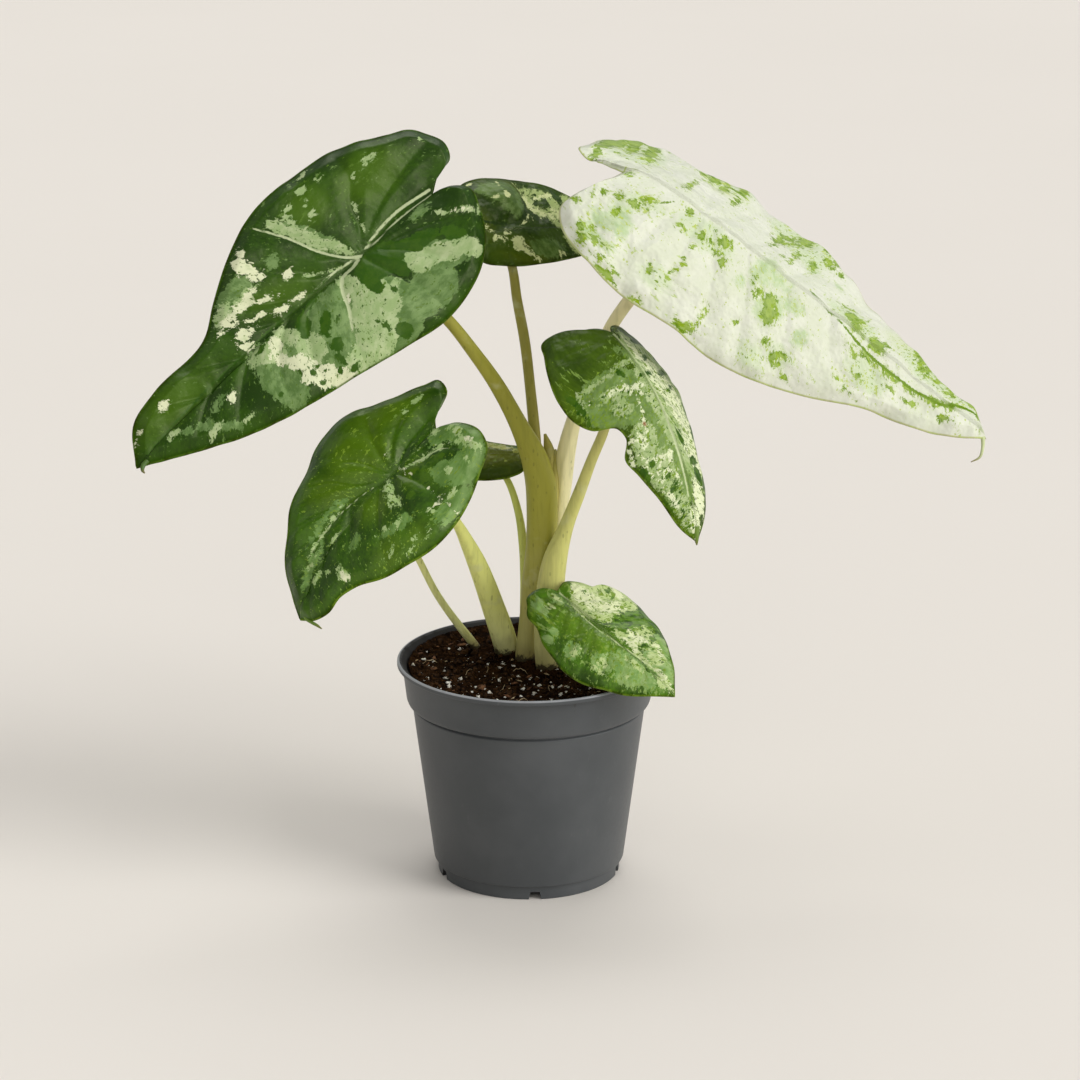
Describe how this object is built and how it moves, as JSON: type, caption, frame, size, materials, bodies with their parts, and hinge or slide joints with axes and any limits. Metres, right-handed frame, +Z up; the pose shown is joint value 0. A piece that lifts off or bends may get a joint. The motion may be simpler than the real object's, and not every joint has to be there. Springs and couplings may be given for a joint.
{
  "type": "potted alocasia",
  "caption": "Young variegated alocasia with eight arrow-shaped leaves on pale green petioles, growing in a small round dark grey nursery pot.",
  "frame": {"origin": "middle of the whole plant's footprint, on the surface the pot stands on", "axes": "+Z up, +X towards the tip of the large pale leaf, -Y towards the side the leaves face"},
  "size_m": [0.2165, 0.1026, 0.1995],
  "materials": {
    "pot_plastic": "satin",
    "potting_soil": "matte",
    "petiole_green": "satin",
    "blade_green": "gloss",
    "blade_cream": "satin"
  },
  "bodies": {
    "root": {"pot": "pot_plastic", "soil": "potting_soil", "leaf_1_blade": "blade_green", "leaf_2_blade": "blade_green", "leaf_3_blade": "blade_cream", "leaf_4_blade": "blade_green", "leaf_5_blade": "blade_green", "leaf_6_blade": "blade_green", "leaf_7_blade": "blade_green", "leaf_8_blade": "blade_green", "leaf_1_petiole": "petiole_green", "leaf_2_petiole": "petiole_green", "leaf_3_petiole": "petiole_green", "leaf_4_petiole": "petiole_green", "leaf_5_petiole": "petiole_green", "leaf_6_petiole": "petiole_green", "leaf_7_petiole": "petiole_green", "leaf_8_petiole": "petiole_green", "young_sheath": "petiole_green"}
  },
  "joints": []
}
